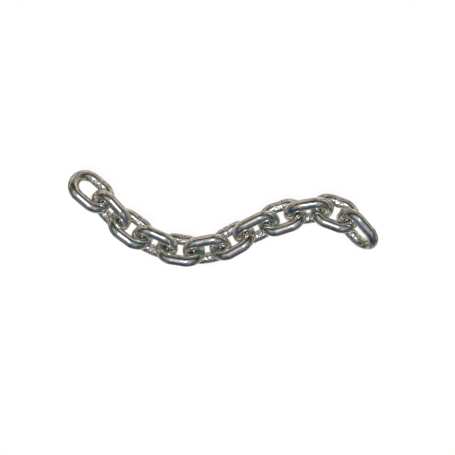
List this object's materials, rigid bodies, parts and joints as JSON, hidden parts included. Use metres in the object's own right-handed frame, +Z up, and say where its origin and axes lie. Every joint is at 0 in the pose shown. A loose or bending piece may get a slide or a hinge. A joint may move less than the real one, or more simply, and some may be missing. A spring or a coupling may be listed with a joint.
{
  "type": "length of steel chain",
  "caption": "Length of bright short-link welded steel chain, lying slack on a level floor, each link leaning on its low leg.",
  "frame": {"origin": "on the floor, under the middle of the chain's bounding box", "axes": "+X along the chain from link_01 to link_12, +Z up"},
  "size_m": [0.3738, 0.1172, 0.0397],
  "materials": {
    "bright_steel": "bright zinc plate, glossy"
  },
  "bodies": {
    "link_01": {"link_01": "bright_steel"},
    "link_02": {"link_02": "bright_steel"},
    "link_03": {"link_03": "bright_steel"},
    "link_04": {"link_04": "bright_steel"},
    "link_05": {"link_05": "bright_steel"},
    "link_06": {"link_06": "bright_steel"},
    "link_07": {"link_07": "bright_steel"},
    "link_08": {"link_08": "bright_steel"},
    "link_09": {"link_09": "bright_steel"},
    "link_10": {"link_10": "bright_steel"},
    "link_11": {"link_11": "bright_steel"},
    "link_12": {"link_12": "bright_steel"}
  },
  "joints": [
    {"name": "link_01_swing", "type": "hinge", "parent": "link_02", "child": "link_01", "pos_m": [-0.15212, 0.02726, 0.0181], "axis": [0.531, 0.4781, 0.6997], "range_deg": [-45, 45]},
    {"name": "link_02_swing", "type": "hinge", "parent": "link_03", "child": "link_02", "pos_m": [-0.13078, 0.00151, 0.01893], "axis": [-0.3974, -0.5274, 0.751], "range_deg": [-45, 45]},
    {"name": "link_03_swing", "type": "hinge", "parent": "link_04", "child": "link_03", "pos_m": [-0.10499, -0.02003, 0.01733], "axis": [0.3025, 0.6958, 0.6514], "range_deg": [-45, 45]},
    {"name": "link_04_swing", "type": "hinge", "parent": "link_05", "child": "link_04", "pos_m": [-0.07496, -0.03518, 0.01921], "axis": [-0.0891, -0.6342, 0.768], "range_deg": [-45, 45]},
    {"name": "link_05_swing", "type": "hinge", "parent": "link_06", "child": "link_05", "pos_m": [-0.04194, -0.04219, 0.01705], "axis": [-0.1475, 0.7588, 0.6344], "range_deg": [-45, 45]},
    {"name": "link_07_swing", "type": "hinge", "parent": "link_06", "child": "link_07", "pos_m": [0.00488, -0.03309, 0.01705], "axis": [-0.1475, 0.7588, 0.6344], "range_deg": [-45, 45]},
    {"name": "link_08_swing", "type": "hinge", "parent": "link_07", "child": "link_08", "pos_m": [0.0329, -0.01458, 0.01869], "axis": [0.3333, -0.5891, 0.7361], "range_deg": [-45, 45]},
    {"name": "link_09_swing", "type": "hinge", "parent": "link_08", "child": "link_09", "pos_m": [0.06273, 0.00027, 0.01853], "axis": [-0.3121, 0.6125, 0.7263], "range_deg": [-45, 45]},
    {"name": "link_10_swing", "type": "hinge", "parent": "link_09", "child": "link_10", "pos_m": [0.09467, 0.01021, 0.01769], "axis": [0.2405, -0.6985, 0.674], "range_deg": [-45, 45]},
    {"name": "link_11_swing", "type": "hinge", "parent": "link_10", "child": "link_11", "pos_m": [0.12786, 0.01457, 0.01933], "axis": [-0.1042, 0.6227, 0.7755], "range_deg": [-30, 30]},
    {"name": "link_12_swing", "type": "hinge", "parent": "link_11", "child": "link_12", "pos_m": [0.15834, -0.00043, 0.01635], "axis": [-0.2759, -0.7581, 0.591], "range_deg": [-30, 45]}
  ]
}
